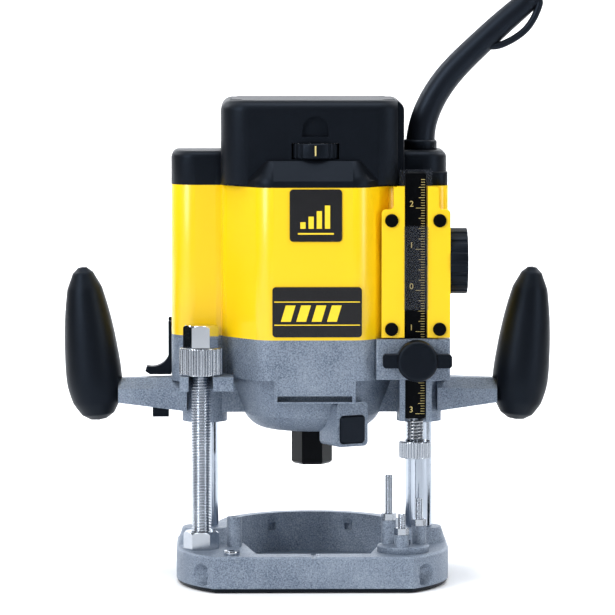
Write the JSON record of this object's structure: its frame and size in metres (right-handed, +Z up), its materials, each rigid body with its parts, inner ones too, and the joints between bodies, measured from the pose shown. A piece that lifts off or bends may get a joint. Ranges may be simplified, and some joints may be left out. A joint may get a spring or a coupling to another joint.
{
  "type": "plunge router",
  "caption": "Plunge router with two-column sprung base, depth stop with rack and turret, side handles and coiled mains lead.",
  "frame": {"origin": "spindle axis at the underside of the sole plate", "axes": "+Z up along the spindle, -Y towards the depth stop and badge side (front), +X to the side of the depth stop"},
  "size_m": [0.4756, 0.15, 0.3881],
  "materials": {
    "cast_aluminium": "sand-cast, tumbled, matt with a light grain",
    "black_plastic": "fine spark-eroded texture",
    "yellow_plastic": "smooth moulded, semi-gloss",
    "clear_plastic": "clear, polished edges",
    "label": "printed label",
    "ground_steel": "ground and polished rod",
    "zinc_steel": "bright zinc plate",
    "chrome": "bright chrome plate",
    "dark_steel": "black oxide",
    "spring_steel": "drawn wire",
    "bronze": "sintered",
    "copper": "enamelled and bare copper",
    "carbon": "pressed carbon",
    "lamination": "stacked electrical steel",
    "phenolic": "moulded resin",
    "cord_rubber": "satin rubber jacket",
    "brass": "bright"
  },
  "bodies": {
    "base": {"sole_plate": "black_plastic", "sole_screws": "zinc_steel", "base_casting": "cast_aluminium", "column_left": "ground_steel", "column_right": "ground_steel", "limit_rod": "zinc_steel", "limit_rod_nut": "zinc_steel", "fence_clamp_screws": "zinc_steel", "turret_pivot": "zinc_steel", "plunge_springs": "spring_steel", "cord_tube": "cord_rubber", "cord_coil": "cord_rubber", "plug_body": "cord_rubber", "plug_blades": "brass"},
    "turret": {"turret_disc": "cast_aluminium", "turret_screws": "zinc_steel", "turret_lock_nuts": "zinc_steel"},
    "limit_nuts": {"knurled_nut": "zinc_steel", "cap_nut": "chrome"},
    "head": {"head_casting": "cast_aluminium", "column_bushes": "bronze", "motor_housing": "yellow_plastic", "guide_plates": "yellow_plastic", "plate_studs": "dark_steel", "scale_channel": "clear_plastic", "upper_badge": "label", "lower_badge": "label", "top_cap": "black_plastic", "cap_screws": "zinc_steel", "control_module": "phenolic", "spring_guides": "black_plastic", "handle_left": "black_plastic", "handle_right": "black_plastic", "handle_studs": "zinc_steel", "stator_core": "lamination", "stator_coils": "copper", "brush_holders": "brass", "carbon_brushes": "carbon", "spindle_bearings": "zinc_steel", "switch_body": "phenolic", "cord_collar": "black_plastic", "cord_sleeve": "cord_rubber"},
    "spindle": {"spindle_shaft": "ground_steel", "collet": "zinc_steel", "collet_nut": "dark_steel", "cooling_fan": "black_plastic", "armature_core": "lamination", "commutator": "copper"},
    "depth_rack": {"depth_bar": "dark_steel", "fine_screw": "zinc_steel"},
    "fine_adjuster": {"fine_wheel": "zinc_steel"},
    "rack_knob": {"depth_knob": "black_plastic", "pinion_shaft": "zinc_steel"},
    "cursor": {"scale_cursor": "clear_plastic"},
    "bar_clamp": {"clamp_knob": "black_plastic"},
    "spindle_lock": {"lock_plunger": "black_plastic"},
    "switch_slide": {"power_slide": "black_plastic"},
    "plunge_lever": {"plunge_lock_lever": "black_plastic"},
    "dial": {"speed_dial": "black_plastic"}
  },
  "joints": [
    {"name": "plunge", "type": "slide", "parent": "base", "child": "head", "axis": [0, 0, 1], "range_m": [-0.024, 0], "stiffness_N_per_m": 800, "springref_m": 0.08, "deforming": ["plunge_springs", "cord_tube"]},
    {"name": "turret_turn", "type": "hinge", "parent": "base", "child": "turret", "pos_m": [0.0555, -0.0485, 0.024], "axis": [0, 0, 1], "range_deg": [-20, 170]},
    {"name": "limit_nut_slide", "type": "slide", "parent": "base", "child": "limit_nuts", "axis": [0, 0, 1], "range_m": [0, 0.008]},
    {"name": "spindle_spin", "type": "hinge", "parent": "head", "child": "spindle", "pos_m": [0, 0, 0.1], "axis": [0, 0, 1], "continuous": true},
    {"name": "depth_bar_slide", "type": "slide", "parent": "head", "child": "depth_rack", "axis": [0, 0, 1], "range_m": [0, 0.0125]},
    {"name": "depth_knob_turn", "type": "hinge", "parent": "head", "child": "rack_knob", "pos_m": [0.09, -0.029, 0.2], "axis": [1, 0, 0], "range_deg": [-119.4, 0]},
    {"name": "fine_wheel_turn", "type": "hinge", "parent": "depth_rack", "child": "fine_adjuster", "pos_m": [0.0632, -0.038, 0.084], "axis": [0, 0, 1], "continuous": true},
    {"name": "cursor_slide", "type": "slide", "parent": "head", "child": "cursor", "axis": [0, 0, 1], "range_m": [-0.01, 0.015]},
    {"name": "bar_clamp_turn", "type": "hinge", "parent": "head", "child": "bar_clamp", "pos_m": [0.0638, -0.05, 0.1403], "axis": [0, -1, 0], "range_deg": [-90, 90]},
    {"name": "spindle_lock_press", "type": "slide", "parent": "head", "child": "spindle_lock", "axis": [-0.4695, 0.8829, 0], "range_m": [0, 0.0035], "stiffness_N_per_m": 1500, "springref_m": -0.004},
    {"name": "switch_slide_move", "type": "slide", "parent": "head", "child": "switch_slide", "axis": [0, 0, 1], "range_m": [0, 0.008]},
    {"name": "plunge_lock_turn", "type": "hinge", "parent": "head", "child": "plunge_lever", "pos_m": [-0.067, 0.02, 0.113], "axis": [0, 1, 0], "range_deg": [-30, 0]},
    {"name": "speed_dial_turn", "type": "hinge", "parent": "head", "child": "dial", "pos_m": [0.0015, -0.031, 0.268], "axis": [0, 0, 1], "range_deg": [0, 270]}
  ],
  "couplings": [
    {"joint": "depth_knob_turn", "follows": "depth_bar_slide", "rad_per_m": -166.67}
  ]
}
